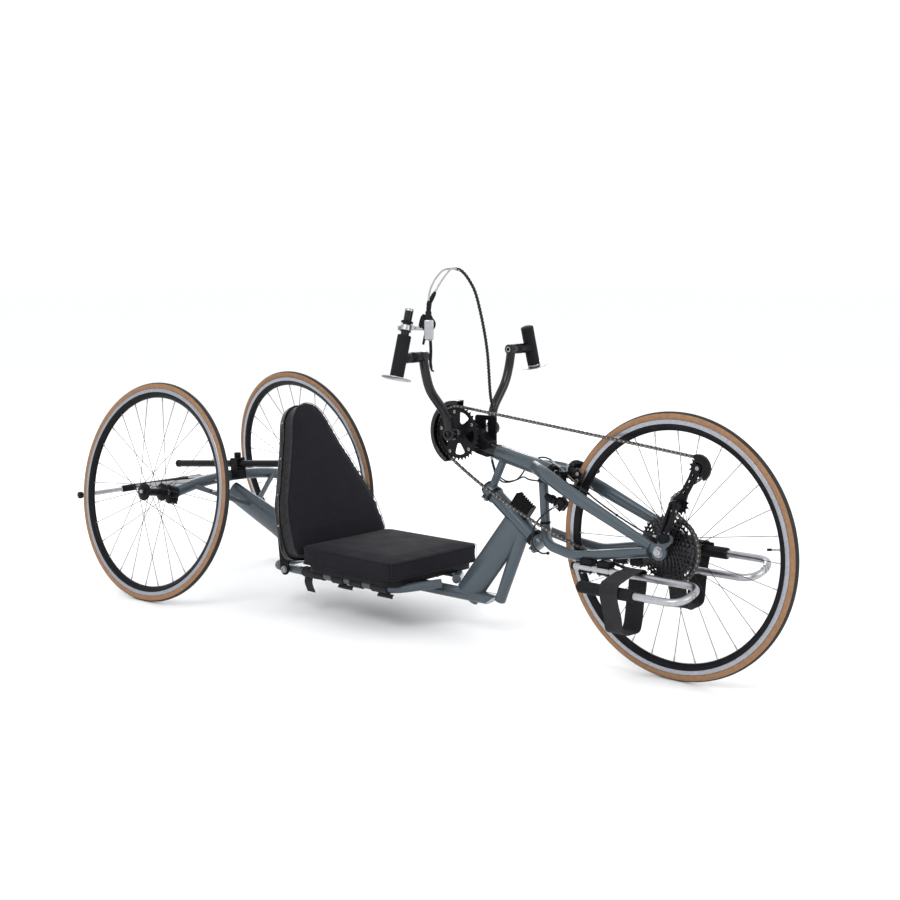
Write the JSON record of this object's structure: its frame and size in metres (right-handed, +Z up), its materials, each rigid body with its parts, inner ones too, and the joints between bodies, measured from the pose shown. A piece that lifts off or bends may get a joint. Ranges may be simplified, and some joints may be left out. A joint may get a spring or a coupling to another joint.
{
  "type": "recumbent handcycle",
  "caption": "Recumbent racing handcycle with two cambered rear wheels, a reclining seat, hand cranks and a chain-driven, steered front wheel.",
  "frame": {"origin": "under the middle of the part's bounding box, on the floor", "axes": "+X forward to the driven wheel, +Y to the rider's left, +Z up"},
  "size_m": [2.3877, 0.7464, 0.9962],
  "materials": {
    "frame_paint": "semi_gloss",
    "black_metal": "gloss",
    "silver_metal": "satin",
    "chain_steel": "satin",
    "tyre_rubber": "matte",
    "black_plastic": "matte",
    "black_fabric": "matte",
    "grip_rubber": "matte"
  },
  "bodies": {
    "frame": {"main_spine": "frame_paint", "down_tube": "frame_paint", "front_strut": "frame_paint", "head_tube": "frame_paint", "seat_rails": "frame_paint", "rear_cross_tube": "frame_paint", "axle_clamp_right": "black_metal", "axle_clamp_left": "black_metal", "safety_bar": "silver_metal", "seat_sling": "black_plastic", "seat_cushion": "black_fabric", "recline_clamp": "black_metal", "steering_damper": "black_plastic"},
    "backrest": {"backrest_shell": "black_metal", "backrest_cushion": "black_fabric"},
    "reclining_bar": {"recline_bar": "black_metal"},
    "rear_wheel_right": {"rear_tyre_right": "tyre_rubber", "rear_rim_right": "black_metal", "rear_hub_right": "black_metal"},
    "rear_wheel_left": {"rear_tyre_left": "tyre_rubber", "rear_rim_left": "black_metal", "rear_hub_left": "black_metal"},
    "button_right": {"release_button_right": "silver_metal"},
    "button_left": {"release_button_left": "silver_metal"},
    "fork": {"boom": "frame_paint", "crank_housing": "black_metal", "fork_leg_right": "frame_paint", "fork_leg_left": "frame_paint", "lower_arm_right": "frame_paint", "lower_arm_left": "frame_paint", "rear_strut": "frame_paint", "crown_strut": "frame_paint", "front_axle": "silver_metal", "brake_body": "black_metal", "parking_brake": "black_metal", "chain": "chain_steel", "cables": "black_plastic"},
    "release_lever": {"quick_release_lever": "black_metal"},
    "calliper_right": {"brake_arm_right": "black_metal"},
    "calliper_left": {"brake_arm_left": "black_metal"},
    "front_wheel": {"front_tyre": "tyre_rubber", "front_rim": "black_metal", "front_hub": "black_metal"},
    "cog_cluster": {"cassette": "silver_metal"},
    "crankset": {"crank_arm_right": "black_metal", "crank_arm_left": "black_metal", "chainring": "black_metal"},
    "right_grip": {"grip_right": "grip_rubber", "lever_bracket": "black_metal"},
    "left_grip": {"grip_left": "grip_rubber"},
    "brake_trigger": {"brake_lever": "black_metal"},
    "shift_trigger": {"shift_lever": "black_metal"},
    "derailleur": {"derailleur_body": "black_metal"},
    "cage": {"derailleur_cage": "black_metal"},
    "upper_pulley": {"guide_pulley": "black_plastic"},
    "lower_pulley": {"tension_pulley": "black_plastic"},
    "footrest_right": {"foot_hoop_right": "silver_metal", "foot_strap_right": "black_fabric"},
    "footrest_left": {"foot_hoop_left": "silver_metal", "foot_strap_left": "black_fabric"}
  },
  "joints": [
    {"name": "steering", "type": "hinge", "parent": "frame", "child": "fork", "pos_m": [0.355, 0, 0.3505], "axis": [-0.8066, 0, 0.5912], "range_deg": [-20, 20], "stiffness_Nm_per_rad": 40},
    {"name": "front_wheel_spin", "type": "hinge", "parent": "fork", "child": "front_wheel", "pos_m": [0.861, 0, 0.334], "axis": [0, 1, 0], "continuous": true},
    {"name": "rear_wheel_spin_right", "type": "hinge", "parent": "frame", "child": "rear_wheel_right", "pos_m": [-0.814, -0.3115, 0.33029], "axis": [-0.0466, 0.9874, -0.1513], "continuous": true},
    {"name": "rear_wheel_spin_left", "type": "hinge", "parent": "frame", "child": "rear_wheel_left", "pos_m": [-0.814, 0.3115, 0.33029], "axis": [0.0466, 0.9874, 0.1513], "continuous": true},
    {"name": "release_button_push_right", "type": "slide", "parent": "frame", "child": "button_right", "axis": [-0.0466, 0.9874, -0.1513], "range_m": [0, 0.003], "stiffness_N_per_m": 600, "springref_m": -0.0002},
    {"name": "release_button_push_left", "type": "slide", "parent": "frame", "child": "button_left", "axis": [-0.0466, -0.9874, -0.1513], "range_m": [0, 0.003], "stiffness_N_per_m": 600, "springref_m": -0.0002},
    {"name": "backrest_recline", "type": "hinge", "parent": "frame", "child": "backrest", "pos_m": [-0.392, 0, 0.125], "axis": [0, 1, 0], "range_deg": [-8, 6]},
    {"name": "recline_bar_pivot", "type": "hinge", "parent": "backrest", "child": "reclining_bar", "pos_m": [-0.48, 0, 0.41317], "axis": [0, 1, 0], "range_deg": [-8, 10]},
    {"name": "crank_spin", "type": "hinge", "parent": "fork", "child": "crankset", "pos_m": [0.192, 0, 0.567], "axis": [0, 1, 0], "continuous": true, "deforming": ["chain", "cables"]},
    {"name": "cassette_spin", "type": "hinge", "parent": "fork", "child": "cog_cluster", "pos_m": [0.861, 0, 0.334], "axis": [0, 1, 0], "continuous": true},
    {"name": "grip_spin_right", "type": "hinge", "parent": "crankset", "child": "right_grip", "pos_m": [0.192, -0.213, 0.781], "axis": [0, 1, 0], "continuous": true},
    {"name": "grip_spin_left", "type": "hinge", "parent": "crankset", "child": "left_grip", "pos_m": [0.192, 0.213, 0.781], "axis": [0, 1, 0], "continuous": true},
    {"name": "brake_lever_pull", "type": "hinge", "parent": "right_grip", "child": "brake_trigger", "pos_m": [0.23845, -0.20359, 0.82987], "axis": [-0.6691, 0.7431, 0], "range_deg": [0, 12], "stiffness_Nm_per_rad": 2, "springref_deg": -5.73},
    {"name": "calliper_close_right", "type": "hinge", "parent": "fork", "child": "calliper_right", "pos_m": [0.54049, -0.024, 0.48431], "axis": [-0.4246, 0, -0.9054], "range_deg": [-2.8, 0.5]},
    {"name": "calliper_close_left", "type": "hinge", "parent": "fork", "child": "calliper_left", "pos_m": [0.54049, 0.024, 0.48431], "axis": [-0.4246, 0, -0.9054], "range_deg": [-0.5, 2.8]},
    {"name": "shift_lever_click", "type": "hinge", "parent": "right_grip", "child": "shift_trigger", "pos_m": [0.2351, -0.20661, 0.86887], "axis": [0.6691, -0.7431, 0], "range_deg": [0, 18], "stiffness_Nm_per_rad": 1, "springref_deg": -5.73},
    {"name": "derailleur_swing", "type": "hinge", "parent": "fork", "child": "derailleur", "pos_m": [0.88, -0.084, 0.372], "axis": [0, 1, 0], "range_deg": [-5, 8], "stiffness_Nm_per_rad": 25, "deforming": ["chain"]},
    {"name": "cage_pivot", "type": "hinge", "parent": "derailleur", "child": "cage", "pos_m": [0.889, -0.045, 0.448], "axis": [0, 1, 0], "range_deg": [-12, 18], "stiffness_Nm_per_rad": 10, "deforming": ["chain"]},
    {"name": "guide_pulley_spin", "type": "hinge", "parent": "cage", "child": "upper_pulley", "pos_m": [0.889, -0.028, 0.448], "axis": [0, 1, 0], "continuous": true},
    {"name": "tension_pulley_spin", "type": "hinge", "parent": "cage", "child": "lower_pulley", "pos_m": [0.94, -0.028, 0.541], "axis": [0, 1, 0], "continuous": true},
    {"name": "release_lever_turn", "type": "hinge", "parent": "fork", "child": "release_lever", "pos_m": [0.861, 0.084, 0.334], "axis": [0, 1, 0], "range_deg": [-120, 20]},
    {"name": "footrest_slide_right", "type": "slide", "parent": "fork", "child": "footrest_right", "axis": [1, 0, 0], "range_m": [-0.04, 0.04]},
    {"name": "footrest_slide_left", "type": "slide", "parent": "fork", "child": "footrest_left", "axis": [1, 0, 0], "range_m": [-0.06, 0.02]}
  ],
  "couplings": [
    {"joint": "cassette_spin", "follows": "crank_spin", "ratio": 0.85714},
    {"joint": "guide_pulley_spin", "follows": "crank_spin", "ratio": -3},
    {"joint": "tension_pulley_spin", "follows": "crank_spin", "ratio": 3},
    {"joint": "grip_spin_right", "follows": "crank_spin", "ratio": -1},
    {"joint": "recline_bar_pivot", "follows": "backrest_recline", "ratio": -1.18},
    {"joint": "calliper_close_right", "follows": "brake_lever_pull", "ratio": -0.21667},
    {"joint": "calliper_close_left", "follows": "brake_lever_pull", "ratio": 0.21667}
  ]
}
